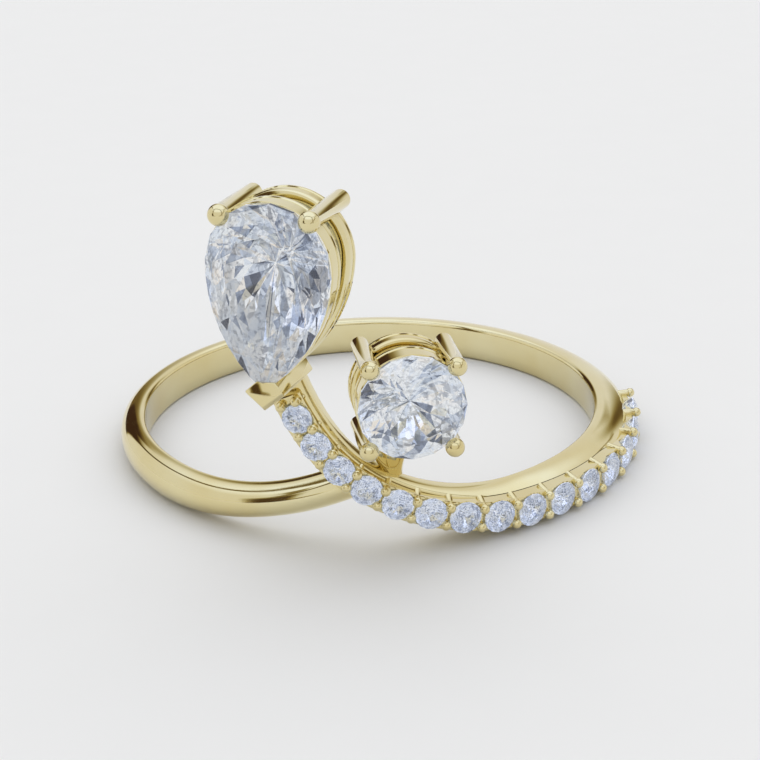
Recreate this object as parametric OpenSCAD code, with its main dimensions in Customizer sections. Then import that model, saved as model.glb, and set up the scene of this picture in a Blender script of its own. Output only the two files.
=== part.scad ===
// Bypass ring with a pear stone, a round stone and a row of fifteen small stones.
// The finger hole runs along Z. The front of the ring, with both heads, faces -Y.
// A place on the ring is given by its turn round the finger (degrees, from the
// front towards +X), its radius from the finger's axis and its height above the
// middle of the band. All lengths are in millimetres.

/* [Finger size] */
// Inner diameter of the finger hole
bore_d = 16.6; // [16.2:0.1:17.0]

/* [Shank] */
// Width of the band along the finger
band_w = 1.42; // [1.36:0.02:1.48]
// Mean thickness of the band at its crown
band_t = 1.12; // [1.08:0.02:1.16]
// How much thicker it is on the set arm's side, and thinner on the other
side_extra = 0.18; // [0.14:0.01:0.2]
// How much thicker it is at the back, and thinner at the front
back_extra = 0.1; // [0.07:0.01:0.12]
// Rounding of the two edges inside the finger hole
edge_r = 0.18; // [0.14:0.02:0.22]
// Fullness of the domed outside, where 2 is a half ellipse
dome_power = 2.1; // [2:0.1:2.4]

/* [Arms] */
// Turn at which the set arm leaves the flat band and starts to climb
set_start = 34; // [33:0.5:35]
// Slow part of the set arm's climb, reached below the pear head
climb_slow = 2.66; // [2.56:0.02:2.76]
// Steep part of its climb, felt only near the pear head
climb_steep = 1.34; // [1.24:0.02:1.44]
// Turn at which the plain arm starts to climb, on the other side
plain_start = 55; // [53:1:57]
// Height that the plain arm would reach at the front
plain_climb = 1.7; // [1.6:0.05:1.8]
// Width of the plain arm where it meets the set arm
plain_arm_w = 1.14; // [1.1:0.02:1.2]
// Turn at which the set arm ends under the pear head
set_arm_end = -16.2; // [-16.6:0.1:-15.8]
// Turn at which the plain arm ends inside the set arm
plain_arm_end = -1.5; // [-2.5:0.5:-0.5]
// Width of the set arm at the pear head
set_arm_w = 1.26; // [1.2:0.02:1.3]
// Thickness of the set arm at the pear head
set_arm_t = 0.66; // [0.6:0.02:0.7]

/* [Row of small stones] */
// Turn of the first pair of prongs, next to the pear head
row_start = -14.5; // [-14.8:0.1:-14.2]
// Diameter of the first small stone
small_d = 0.98; // [0.94:0.01:1.0]
// Diameter of the last small stone
small_last_d = 1.24; // [1.18:0.02:1.26]
// Distance from the first pair of prongs to the second
first_pitch = 1.07; // [1.05:0.01:1.1]
// Distance between the last two pairs
last_pitch = 1.86; // [1.82:0.02:1.9]
// How far the row sits below the band's middle at its far end
row_drop = 0.08; // [0.04:0.01:0.09]
// Radius of the girdles of the row from the finger's axis
row_radius = 9.76; // [9.72:0.02:9.8]
// Diameter of the bead at the end of each small prong
bead_d = 0.34; // [0.3:0.01:0.36]

/* [Pear stone] */
// Width of the pear stone
pear_w = 3.92; // [3.8:0.02:4.0]
// Length of the pear stone
pear_l = 5.78; // [5.6:0.02:5.9]
// Diameter of the two rod prongs at its round end
pear_rod_d = 0.6; // [0.56:0.02:0.64]

/* [Round stone] */
// Diameter of the round stone
round_d = 3.32; // [3.2:0.02:3.4]
// Diameter of its four rod prongs
round_rod_d = 0.54; // [0.5:0.02:0.58]

/* [Hidden] */
small_count = 15;

$fn = 48;
gold = [0.86, 0.76, 0.52];
clear_stone = [0.86, 0.9, 0.98];

// Clear space between a stone and the metal that holds it.
seat_gap = 0.03;
// How far inside the band's surface an arm starts on all sides, and how far it then
// reaches into the finger hole before the hole is cut true.
sink = 0.012;

bore_r = bore_d / 2;

// Turn over which the set arm climbs by climb_slow + climb_steep.
climb_span = set_start + 13.1;
// How far the set arm's inner wall moves out from the finger hole.
set_arm_in = 0.58;
// Power of the plain arm's climb.
plain_power = 2.45;

// The pear head's girdle: its place, the turn that it faces and the stone's lean.
pear_radius = bore_r + 3.1;
pear_turn = -14.0;
pear_height = 9.38;
pear_face = -20;
pear_lean = -4.9;
// From the middle of the pear's round end to its point.
pear_point = pear_l - pear_w / 2;

// The round head's girdle, the turn that it faces and the lean of its prongs.
round_radius = bore_r + 3.1;
round_turn = 6.8;
round_height = 5.03;
round_face = 8.4;
round_lean = -1.8;

// Depth of each gallery rail behind the girdle: [front edge, back edge].
pear_rails = [[-0.1, -0.78], [-1.38, -2.0]];
round_rails = [[-0.1, -0.86], [-1.42, -2.04]];
rail_t = 0.34;
rail_bevel = 0.1;

// Depth of the cut ends of the rods behind the girdle, and of their heads before it.
pear_rod_back = 2.43;
round_rod_back = 2.1;
rod_front = 0.12;
// How much wider a rod's round head is than the rod.
rod_head = 1.1;

// Share of a pitch that a bead sits above or below the row's middle line.
bead_spread = 0.237;

// The name of a small stone's piece, with its number in two figures.
function small_name(i) = str("pave_stone_", i < 10 ? "0" : "", i);

// Eases from 0 to 1 as x goes from 0 to 1.
function ease(x) = let (c = min(1, max(0, x))) c * c * (3 - 2 * c);

// Blends two values.
function mix(a, b, share) = a + (b - a) * share;

// Thickness of the band at a turn. Its outside is a circle set off sideways and back.
function band_thickness(turn) = band_t + side_extra * sin(turn) - back_extra * cos(turn);

// Height of the set arm's middle line at a turn.
function set_height(turn) =
    let (share = max(0, (set_start - turn) / climb_span))
        climb_slow * pow(share, 2) + climb_steep * pow(share, 7);

// Height of the plain arm's middle line at a turn on its own side.
function plain_height(turn) = plain_climb * pow(max(0, 1 - turn / plain_start), plain_power);

// Height of the row of small stones at a turn.
function row_height(turn) = set_height(turn) - row_drop * ease((turn - 20) / 40);

// Climb angle between two heights that are a tenth of a degree apart.
function slope(low, high, radius) = atan((low - high) / (0.1 * radius * PI / 180));
function set_slope(turn, radius) =
    slope(set_height(turn - 0.05), set_height(turn + 0.05), radius);
function plain_slope(turn, radius) =
    slope(plain_height(turn - 0.05), plain_height(turn + 0.05), radius);

// Diameter of small stone i, counted from 0 at the pear head.
function small_size(i) = mix(small_d, small_last_d, i / (small_count - 1));

// Distance from prong pair i to the next, across stone i.
function pitch(i) = mix(first_pitch, last_pitch, pow(min(i / (small_count - 1), 1), 2));

// Turn that a step of the given length along the row takes at a turn.
function turn_step(turn, length) =
    length * cos(set_slope(turn, row_radius)) / (row_radius * PI / 180);

// Turn of the pair after the pair i that stands at a turn.
function next_turn(turn, i) =
    turn + turn_step(turn + turn_step(turn, pitch(i)) / 2, pitch(i));

// Turns of all the prong pairs. Stone i sits between pairs i and i + 1.
pair_turns = [
    for (k = 0, turn = row_start; k <= small_count; turn = next_turn(turn, k), k = k + 1)
        turn
];
function small_turn(i) = (pair_turns[i] + pair_turns[i + 1]) / 2;

// A superellipse value, the cosine or sine raised to the dome's power.
function dome(value, power) = sign(value) * pow(abs(value), 2 / power);

// Outline of the band: a flat inner wall with rounded edges and a domed outside.
// Each point is [depth outwards from the inner wall, height].
function band_outline(w, t, e, power) = concat(
    [for (i = [0:12]) let (v = -90 + 15 * i)
        [e + (t - e) * dome(cos(v), power), w / 2 * dome(sin(v), power)]],
    [for (i = [1:3]) let (v = 90 + 30 * i)
        [e + e * cos(v), w / 2 - e + e * sin(v)]],
    [for (i = [0:2]) let (v = 180 + 30 * i)
        [e + e * cos(v), -w / 2 + e + e * sin(v)]]
);

// The same outline without the inner wall, running on inwards by reach.
function outside_outline(w, t, e, power, reach) = concat(
    [for (i = [0:12]) let (v = -90 + 15 * i)
        [reach + e + (t - e) * dome(cos(v), power), w / 2 * dome(sin(v), power)]],
    [[0, w / 2], [0, -w / 2]]
);

// One cross-section of an arm: the outline laid on the cylinder round the finger,
// leaning with the climb, so that its flat wall stays square to the finger hole.
function laid(outline, turn, height, inner_r, slope) = [
    for (p = outline)
        let (
            lean = p[1] * sin(slope) / (inner_r * PI / 180),
            r = inner_r + p[0]
        )
        [r * sin(turn + lean), -r * cos(turn + lean), height + p[1] * cos(slope)]
];

// The average of a list of points.
function middle(points) =
    [for (axis = [0:2]) [for (p = points) p[axis]] * [for (p = points) 1] / len(points)];

// A solid through a list of cross-sections with equal numbers of points, which run
// counterclockwise as seen from the far end.
module sweep(sections) {
    n = len(sections[0]);
    m = len(sections);
    points = concat([for (s = sections) each s], [middle(sections[0]), middle(sections[m - 1])]);
    sides = [
        for (j = [0:m - 2], i = [0:n - 1])
            let (a = j * n + i, b = j * n + (i + 1) % n)
            each [[a, b + n, b], [a, a + n, b + n]]
    ];
    first = [for (i = [0:n - 1]) [m * n, i, (i + 1) % n]];
    last = [for (i = [0:n - 1]) [m * n + 1, (m - 1) * n + (i + 1) % n, (m - 1) * n + i]];
    polyhedron(points = points, faces = concat(sides, first, last), convexity = 6);
}

// Moves children to a turn, radius and height, with their +Z pointing outwards,
// their +Y up along the finger and their +X to the viewer's right.
module outward(turn, radius, height) {
    rotate([0, 0, turn])
        translate([0, -radius, height])
            rotate([90, 0, 0])
                children();
}

// The pear head's own frame, with its middle at the stone's widest line.
module at_pear() {
    rotate([0, 0, pear_turn])
        translate([0, -pear_radius, pear_height])
            rotate([0, 0, pear_face - pear_turn])
                rotate([90, 0, 0])
                    children();
}

// The round head's own frame, with its middle at the stone's girdle.
module at_round() {
    outward(round_turn, round_radius, round_height)
        rotate([0, round_face - round_turn, 0])
            children();
}

// The frame of small stone i, turned with the climb of the arm.
module at_small(i) {
    turn = small_turn(i);
    outward(turn, row_radius, row_height(turn))
        rotate([0, 0, -set_slope(turn, row_radius)])
            children();
}

// The flat part of the band, from the set arm round the back to the plain arm. Its
// outside turns about a line that is set off sideways and back, and the bore is cut true.
module shank() {
    reach = 0.3;
    difference() {
        translate([side_extra, back_extra, 0])
            rotate([0, 0, set_start - 90])
                rotate_extrude(angle = 360 - set_start - plain_start, $fn = 180)
                    translate([bore_r - reach, 0])
                        polygon(outside_outline(band_w, band_t, edge_r, dome_power, reach));
        bore_cut();
    }
}

// What is taken out of the finger hole: the bore with its two rounded edges.
module bore_cut() {
    high = band_w / 2;
    rotate_extrude($fn = 180)
        polygon(concat(
            [[0, -high - 1], [bore_r + edge_r, -high - 1]],
            [for (v = [-90:30:0]) bore_edge(v, -high + edge_r)],
            [for (v = [0:30:90]) bore_edge(v, high - edge_r)],
            [[bore_r + edge_r, high + 1], [0, high + 1]]
        ));
}

// A point of a rounded edge of the bore, at an angle v round the edge's middle.
function bore_edge(v, height) = [bore_r + edge_r - edge_r * cos(v), height + edge_r * sin(v)];

// The set arm: it climbs to the left, slims and turns from a dome to a flat face.
module set_arm() {
    steps = 36;
    sweep([
        for (j = [-2:steps])
            let (
                turn = mix(set_start, set_arm_end, j / steps),
                slim = ease(j / steps),
                less = sink * (1 - ease(j / 2)),
                inner = bore_r - sink + 2 * less + set_arm_in * slim,
                t = mix(band_thickness(turn) + sink, set_arm_t, slim) - 3 * less,
                w = mix(band_w, set_arm_w, slim) - 2 * less,
                e = mix(edge_r, 0.1, slim)
            )
            laid(band_outline(w, t, e, mix(dome_power, 6, slim)),
                turn, set_height(turn), inner, set_slope(turn, inner))
    ]);
}

// The plain arm: it climbs to the right and slims, and ends inside the set arm.
module plain_arm() {
    steps = 36;
    mirror([1, 0, 0])
        sweep([
            for (j = [-2:steps])
                let (
                    turn = mix(plain_start, -plain_arm_end, j / steps),
                    less = sink * (1 - ease(j / 2)),
                    slim = ease(1.4 * j / steps),
                    w = mix(band_w, plain_arm_w, slim) - 2 * less,
                    t = band_thickness(-turn) + sink - 0.06 * slim - 3 * less,
                    inner = bore_r - sink + 2 * less
                )
                laid(band_outline(w, t, edge_r, dome_power),
                    turn, plain_height(turn), inner, plain_slope(turn, inner))
        ]);
}

// The low wall on the band that carries the small stones' seats.
module seat_wall() {
    steps = 44;
    first = pair_turns[0] + 0.4;
    last = pair_turns[small_count] - 0.6;
    base = row_radius - 0.72;
    top = 0.56;
    sweep([
        for (j = [0:steps])
            let (
                turn = mix(last, first, j / steps),
                half = 0.37 * mix(small_last_d, small_d, j / steps)
            )
            laid([[0, -half * 0.9], [top, -half], [top, half], [0, half * 0.9]],
                turn, row_height(turn), base, set_slope(turn, row_radius))
    ]);
}

// A prong of the row: a slim bar that ends in a round bead.
module bead_prong(length) {
    rotate_extrude()
        intersection() {
            union() {
                square([bead_d * 0.39, length]);
                translate([0, length])
                    circle(d = bead_d);
            }
            square([bead_d, length + bead_d]);
        }
}

// The pair of prongs before stone k, one above and one below the row's line.
module prong_pair(k) {
    turn = pair_turns[k];
    foot_r = row_radius - 0.62;
    tip_r = row_radius + 0.08;
    spread = bead_spread * pitch(k);
    splay = 0.06;
    for (side = [-1, 1])
        outward(turn, foot_r, row_height(turn))
            rotate([0, 0, -set_slope(turn, row_radius)])
                translate([0, side * (spread + splay), 0])
                    rotate([side * atan(splay / (tip_r - foot_r)), 0, 0])
                        bead_prong(tip_r - foot_r);
}

// Outline of a pear: a half circle with two equal arcs that meet at the point.
function pear_outline(w, l, n) =
    let (
        h = l - w / 2,
        arc_r = (h * h + w * w / 4) / w,
        off = arc_r - w / 2,
        end = atan2(h, off)
    )
    concat(
        [for (i = [0:n]) let (v = 180 * i / n) [w / 2 * cos(v), w / 2 * sin(v)]],
        [for (i = [1:n]) let (v = end * i / n) [off - arc_r * cos(v), -arc_r * sin(v)]],
        [for (i = [n - 1:-1:1]) let (v = end * i / n) [arc_r * cos(v) - off, -arc_r * sin(v)]]
    );

// A ring of points: an outline scaled by a share and set at a height.
function level(outline, share, z) = [for (p = outline) [p[0] * share, p[1] * share, z]];

// A cut stone: table, crown, thin girdle, pavilion and a small culet face. Its
// girdle lies round z = 0 and depth is the width that its heights follow.
module cut_stone(outline, depth) {
    table = [for (i = [0:2:len(outline) - 1]) outline[i] * 0.57];
    hull() {
        linear_extrude(0.15 * depth)
            polygon(table);
        linear_extrude(0.03 * depth, center = true)
            polygon(outline);
        translate([0, 0, -0.42 * depth])
            linear_extrude(0.1 * depth)
                polygon(outline * 0.04);
    }
}

// Outline of a round stone with n sides.
function round_outline(d, n) = [for (i = [0:n - 1]) d / 2 * [cos(360 * i / n), sin(360 * i / n)]];

// The pear stone in the pear head's frame, larger all round by grow.
module pear_cut(grow) {
    rotate([0, 0, pear_lean])
        cut_stone(pear_outline(pear_w + 2 * grow, pear_l + 2 * grow, 8), pear_w + 2 * grow);
}

// The round stone in the round head's frame.
module round_cut(d) {
    cut_stone(round_outline(d, 16), d);
}

// A straight rod prong with a round head, centred on its own axis.
module rod_prong(d, back) {
    translate([0, 0, -back])
        rotate_extrude()
            intersection() {
                union() {
                    square([d / 2, back + rod_front]);
                    translate([0, back + rod_front])
                        circle(d = d * rod_head);
                }
                square([d, back + rod_front + d]);
            }
}

// A gallery rail that follows the pear's outline, bevelled round its front.
module pear_rail(front, back) {
    outer = pear_outline(pear_w + 0.04, pear_l + 0.04, 14);
    inner = pear_outline(pear_w - 2 * rail_t, pear_l - 2.6 * rail_t, 14);
    straight = front - back - rail_bevel;
    translate([0, 0, back])
        difference() {
            union() {
                linear_extrude(straight)
                    polygon(outer);
                translate([0, 0, straight])
                    linear_extrude(rail_bevel, scale = 1 - 2 * rail_bevel / pear_w)
                        polygon(outer);
            }
            translate([0, 0, -1])
                linear_extrude(front - back + 2)
                    polygon(inner);
        }
}

// The V prong over the pear's point: a five-sided bar, bevelled below its front. Its
// outline is given from the point that the stone would have without its lean.
module v_prong() {
    back = -2.25;
    front = 0.22;
    bevel = 0.17;
    tip = [[-0.84, -0.18], [-0.47, 0.32], [0.11, 0.32], [0.36, -0.1], [-0.26, -0.6]];
    lifted = [for (p = tip) p[1] > 0 ? p : p + [0, bevel]];
    translate([0, -pear_point, 0])
        hull() {
            translate([0, 0, back])
                linear_extrude(front - bevel - back)
                    polygon(tip);
            translate([0, 0, back])
                linear_extrude(front - back)
                    polygon(lifted);
        }
}

// The pear head without its stone's seat.
module pear_head() {
    for (depths = pear_rails)
        rotate([0, 0, pear_lean])
            pear_rail(depths[0], depths[1]);
    v_prong();
    for (side = [-1, 1])
        translate([side * (pear_w / 2 - 0.56), pear_w / 2 - 0.42, 0])
            rod_prong(pear_rod_d, pear_rod_back);
}

// A round gallery rail, bevelled round its front.
module round_rail(front, back) {
    outer = round_d / 2;
    rotate_extrude($fn = 96)
        polygon([
            [outer - rail_t, back],
            [outer, back],
            [outer, front - rail_bevel],
            [outer - rail_bevel, front],
            [outer - rail_t, front]
        ]);
}

// The foot that carries the round head: a wedge from the back rail to the set arm.
module round_foot() {
    hull() {
        translate([-1.2, -1.9, -2.0])
            cube([1.36, 0.4, 0.6]);
        translate([-0.6, -3.5, -2.86])
            cube([0.68, 0.4, 0.56]);
    }
}

// The round head without its stone's seat.
module round_head() {
    reach = 0.392 * round_d;
    for (depths = round_rails)
        round_rail(depths[0], depths[1]);
    round_foot();
    rotate([0, 0, round_lean])
        for (x = [-reach, reach], y = [-reach, reach])
            translate([x, y, 0])
                rod_prong(round_rod_d, round_rod_back);
}

// All the metal, soldered into one piece, with a seat cut for every stone.
module gold_mount() {
    color(gold)
        difference() {
            union() {
                shank();
                set_arm();
                plain_arm();
                seat_wall();
                for (k = [0:small_count])
                    prong_pair(k);
                at_pear()
                    pear_head();
                at_round()
                    round_head();
            }
            at_pear()
                pear_cut(seat_gap);
            at_round()
                round_cut(round_d + 2 * seat_gap);
            for (i = [0:small_count - 1])
                at_small(i)
                    small_cut(small_size(i) + 2 * seat_gap);
            cylinder(r = bore_r, h = 4 * band_w, center = true, $fn = 180);
        }
}

// A small stone as one polyhedron with eight sides.
module small_cut(d) {
    girdle = round_outline(d, 8);
    sweep([
        level(girdle, 0.05, -0.42 * d),
        level(girdle, 1, -0.015 * d),
        level(girdle, 1, 0.015 * d),
        level(girdle, 0.57, 0.15 * d)
    ]);
}

module pear_stone() {
    color(clear_stone)
        at_pear()
            pear_cut(0);
}

module round_stone() {
    color(clear_stone)
        at_round()
            round_cut(round_d);
}

module pave_stone(i) {
    color(clear_stone)
        at_small(i)
            small_cut(small_size(i));
}

gold_mount();
pear_stone();
round_stone();
for (i = [1:small_count])
    pave_stone(i - 1);
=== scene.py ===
"""Dresses a bypass ring: a yellow gold band whose two arms cross at the front under a
pear stone, a round stone and a row of fifteen small stones.

Lengths are in millimetres in every class, and each mesh is scaled to metres when its
piece is finished. A turn is an angle in degrees round the finger, from the front
towards +X. Each head has a frame of its own: +Z outwards, +Y up and +X to the right.
"""

import logging
import math
import random
from dataclasses import dataclass, field
from enum import Enum
from typing import Any, Callable, Sequence

import bmesh  # noqa: E402
import bpy  # noqa: E402
from mathutils import Matrix, Vector  # noqa: E402


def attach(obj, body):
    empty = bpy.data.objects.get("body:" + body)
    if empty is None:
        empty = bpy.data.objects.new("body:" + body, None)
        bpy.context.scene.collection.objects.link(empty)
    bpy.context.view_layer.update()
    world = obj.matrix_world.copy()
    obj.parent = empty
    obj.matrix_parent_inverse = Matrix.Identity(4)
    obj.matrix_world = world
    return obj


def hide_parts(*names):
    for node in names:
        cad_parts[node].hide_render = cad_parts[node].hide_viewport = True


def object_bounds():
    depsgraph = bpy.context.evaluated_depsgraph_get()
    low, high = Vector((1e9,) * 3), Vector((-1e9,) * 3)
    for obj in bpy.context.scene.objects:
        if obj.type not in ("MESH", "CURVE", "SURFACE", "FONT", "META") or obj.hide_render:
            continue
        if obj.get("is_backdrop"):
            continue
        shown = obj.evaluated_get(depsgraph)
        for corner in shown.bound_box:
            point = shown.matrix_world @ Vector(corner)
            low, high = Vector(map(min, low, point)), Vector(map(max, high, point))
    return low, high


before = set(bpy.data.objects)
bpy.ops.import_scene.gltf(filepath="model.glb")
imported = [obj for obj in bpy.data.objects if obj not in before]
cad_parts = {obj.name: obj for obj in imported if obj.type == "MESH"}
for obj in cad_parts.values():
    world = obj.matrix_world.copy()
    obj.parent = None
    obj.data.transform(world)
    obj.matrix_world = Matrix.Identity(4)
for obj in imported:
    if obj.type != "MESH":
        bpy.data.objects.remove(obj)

MM = 0.001
SLOPE_STEP = 0.1
LOG = logging.getLogger("bypass_ring")

Point = tuple[float, float, float]
Outline = list[tuple[float, float]]
Colour = tuple[float, float, float]


class Slot(Enum):
    """The record's material slots."""

    GOLD = "gold"
    PEAR = "pear_stone"
    ROUND = "round_stone"
    SMALL = "small_stones"


# Sums


def ease(x: float) -> float:
    """Eases from 0 to 1 as x goes from 0 to 1.

    Args:
        x: The share of the way, which may lie outside 0 to 1.

    Returns:
        The eased share.
    """
    x = min(1.0, max(0.0, x))
    return x * x * (3 - 2 * x)


def mix(a: float, b: float, share: float) -> float:
    """Blends a into b by a share."""
    return a + (b - a) * share


def part(x: float, low: float, high: float) -> float:
    """The eased share of the way from low to high that x has gone."""
    return ease((x - low) / (high - low))


def evenly(start: float, end: float, steps: int) -> list[float]:
    """Even stops from a start to an end, both among them."""
    return [mix(start, end, i / steps) for i in range(steps + 1)]


def bent(value: float, power: float) -> float:
    """A value raised to a power, with its sign kept."""
    return math.copysign(abs(value) ** power, value)


def round_head(rod: float, head: float, height: float, steps: int) -> Outline:
    """Profile of a ball on a rod, from the rod up to the ball's top.

    Args:
        rod: Radius of the rod.
        head: Radius of the ball.
        height: Height of the ball's middle.
        steps: Steps of the profile.

    Returns:
        The profile's points, as radius and height.
    """
    neck = math.degrees(math.asin(rod / head))
    return [
        (max(0.0, head * sin(v)), height + head * cos(v)) for v in evenly(180 - neck, 0, steps)
    ]


def show(name: str, data: bpy.types.ID) -> bpy.types.Object:
    """Puts an object with some data into the scene."""
    made = bpy.data.objects.new(name, data)
    bpy.context.scene.collection.objects.link(made)
    return made


def sin(degrees: float) -> float:
    """Sine of an angle in degrees."""
    return math.sin(math.radians(degrees))


def cos(degrees: float) -> float:
    """Cosine of an angle in degrees."""
    return math.cos(math.radians(degrees))


def turned(degrees: float, axis: str) -> Matrix:
    """A 4x4 rotation by degrees about a named axis."""
    return Matrix.Rotation(math.radians(degrees), 4, axis)


def outward(turn: float, radius: float, height: float) -> Matrix:
    """The frame of a seat on the ring.

    Args:
        turn: Degrees round the finger from the front.
        radius: Distance from the finger's axis.
        height: Height above the middle of the band.

    Returns:
        A matrix that sets +Z outwards and +Y up.
    """
    return turned(turn, "Z") @ Matrix.Translation((0, -radius, height)) @ turned(90, "X")


def on_ring(turn: float, radius: float, height: float) -> Point:
    """A point at a turn, radius and height."""
    return (radius * sin(turn), -radius * cos(turn), height)


def toward(azimuth: float, elevation: float) -> Vector:
    """A direction, from its azimuth (from +Y towards +X) and its height over the horizon."""
    level = cos(elevation)
    return Vector((level * sin(azimuth), level * cos(azimuth), sin(elevation)))


def pear_outline(width: float, length: float, steps: int) -> Outline:
    """Outline of a pear: a half circle and two equal arcs that meet at the point.

    Args:
        width: Width across the half circle.
        length: Length from the round end to the point.
        steps: Steps along each of the curve's parts.

    Returns:
        Points counterclockwise from the right end of the widest line.
    """
    high = length - width / 2
    arc = (high * high + width * width / 4) / width
    off = arc - width / 2
    end = math.degrees(math.atan2(high, off))
    head = [
        (width / 2 * cos(180 * i / steps), width / 2 * sin(180 * i / steps))
        for i in range(steps + 1)
    ]
    left = [
        (off - arc * cos(end * i / steps), -arc * sin(end * i / steps))
        for i in range(1, steps + 1)
    ]
    right = [(-x, y) for x, y in reversed(left[:-1])]
    return head + left + right


def circle_outline(radius: float, sides: int) -> Outline:
    """Outline of a circle, counterclockwise from +X."""
    return [
        (radius * cos(360 * i / sides), radius * sin(360 * i / sides)) for i in range(sides)
    ]


# Metalwork

RAIL_TRIM = 0.035
RAIL_LINE = 0.1
RAIL_EDGE = 0.02
RAIL_SUNK = 0.03
RAIL_SOFT = 0.3


class Workpiece:
    """A mesh on the bench: shells are added in millimetres and finished as one piece."""

    flat_angle = 0.2
    sharp_angle = 20.0
    weld = 1e-4

    def __init__(self, name: str) -> None:
        """Starts an empty workpiece.

        Args:
            name: The name that the finished piece gets.
        """
        self.name = name
        self.mesh = bmesh.new()

    def loft(
        self,
        sections: Sequence[Sequence[Point]],
        place: Matrix | None = None,
        ring: bool = False,
    ) -> None:
        """Skins a tube through closed sections with equal numbers of points.

        Args:
            sections: The sections in order along the tube.
            place: Where the shell goes, or None where it already is in place.
            ring: Whether the last section joins the first instead of both being capped.
        """
        shell = bmesh.new()
        loop = bmesh.ops.create_circle(shell, segments=len(sections[0]), radius=1)["verts"]
        self._set(loop, sections[0])
        first = self._around(shell, loop)
        edges = first
        for section in sections[1:]:
            made = bmesh.ops.extrude_edge_only(shell, edges=edges)["geom"]
            fresh = {item for item in made if isinstance(item, bmesh.types.BMVert)}
            loop = [
                next(e.other_vert(v) for e in v.link_edges if e.other_vert(v) in fresh)
                for v in loop
            ]
            self._set(loop, section)
            edges = self._around(shell, loop)
        if ring:
            bmesh.ops.bridge_loops(shell, edges=edges + first)
        else:
            bmesh.ops.contextual_create(shell, geom=edges)
            bmesh.ops.contextual_create(shell, geom=first)
        self.add(shell, place)

    def lathe(self, profile: Sequence[tuple[float, float]], steps: int, place: Matrix) -> None:
        """Turns a profile of radius and height about +Z.

        Args:
            profile: The profile from one end to the other, closed by its poles or itself.
            steps: Steps of the full turn.
            place: Where the shell goes.
        """
        shell = bmesh.new()
        points = [shell.verts.new((r, 0, z)) for r, z in profile]
        edges = [shell.edges.new(pair) for pair in zip(points, points[1:])]
        if profile[0][0] > 0:
            edges.append(shell.edges.new((points[-1], points[0])))
        bmesh.ops.spin(
            shell,
            geom=points + edges,
            axis=(0, 0, 1),
            cent=(0, 0, 0),
            angle=2 * math.pi,
            steps=steps,
            use_merge=True,
        )
        self.add(shell, place)

    def hull(self, points: Sequence[Point], place: Matrix, bevel: float = 0.0) -> None:
        """Wraps flat faces round a few points.

        Args:
            points: The corners.
            place: Where the shell goes.
            bevel: Width of the rounding of its edges.
        """
        shell = bmesh.new()
        for point in points:
            shell.verts.new(point)
        made = bmesh.ops.convex_hull(shell, input=shell.verts[:])
        loose = {item for key in ("geom_interior", "geom_unused") for item in made[key]}
        verts = [item for item in loose if isinstance(item, bmesh.types.BMVert)]
        bmesh.ops.delete(shell, geom=verts, context="VERTS")
        flat = math.radians(self.flat_angle)
        bmesh.ops.dissolve_limit(
            shell, angle_limit=flat, verts=shell.verts[:], edges=shell.edges[:]
        )
        if bevel:
            self.round_edges(shell, bevel)
        self.add(shell, place)

    def round_edges(self, shell: bmesh.types.BMesh, width: float) -> None:
        """Rounds the sharp edges of a shell."""
        limit = math.radians(self.sharp_angle)
        sharp = [e for e in shell.edges if e.is_manifold and e.calc_face_angle() > limit]
        bmesh.ops.bevel(
            shell,
            geom=sharp,
            offset=width,
            segments=3,
            profile=0.5,
            affect="EDGES",
            material=-1,
            clamp_overlap=True,
        )

    def add(self, shell: bmesh.types.BMesh, place: Matrix | None = None) -> None:
        """Puts a closed shell into the workpiece.

        Args:
            shell: The shell, which is used up.
            place: Where it goes, or None where it already is in place.
        """
        bmesh.ops.remove_doubles(shell, verts=shell.verts[:], dist=self.weld)
        if place is not None:
            bmesh.ops.transform(shell, matrix=place, verts=shell.verts[:])
        bmesh.ops.recalc_face_normals(shell, faces=shell.faces[:])
        scratch = bpy.data.meshes.new("shell")
        shell.to_mesh(scratch)
        shell.free()
        self.mesh.from_mesh(scratch)
        bpy.data.meshes.remove(scratch)

    def finish(
        self,
        materials: Sequence[bpy.types.Material],
        slot: Slot,
        nodes: Sequence[str],
        crease: float,
    ) -> None:
        """Makes the piece: smooth faces, sharp creases, metres, material and frame calls.

        Args:
            materials: The finishes that its faces choose from.
            slot: The record's slot, which is not used.
            nodes: The CAD nodes that it stands for.
            crease: Edges sharper than this many degrees stay sharp in the shading.
        """
        limit = math.radians(crease)
        for face in self.mesh.faces:
            face.smooth = True
        for edge in self.mesh.edges:
            edge.smooth = not (edge.is_manifold and edge.calc_face_angle() > limit)
        bmesh.ops.scale(self.mesh, vec=(MM, MM, MM), verts=self.mesh.verts[:])
        data = bpy.data.meshes.new(self.name)
        self.mesh.to_mesh(data)
        self.mesh.free()
        for material in materials:
            data.materials.append(material)
        piece = show(self.name, data)
        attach(piece, "root")
        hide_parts(*nodes)
        LOG.info("%s: %d faces", self.name, len(data.polygons))

    @staticmethod
    def _set(loop: Sequence[bmesh.types.BMVert], section: Sequence[Point]) -> None:
        """Moves the points of a loop onto a section."""
        for vert, point in zip(loop, section):
            vert.co = point

    @staticmethod
    def _around(
        shell: bmesh.types.BMesh, loop: Sequence[bmesh.types.BMVert]
    ) -> list[bmesh.types.BMEdge]:
        """The edges of a closed loop in order."""
        ends = list(loop[1:]) + [loop[0]]
        return [shell.edges.get(pair) for pair in zip(loop, ends)]


# Shading


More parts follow.
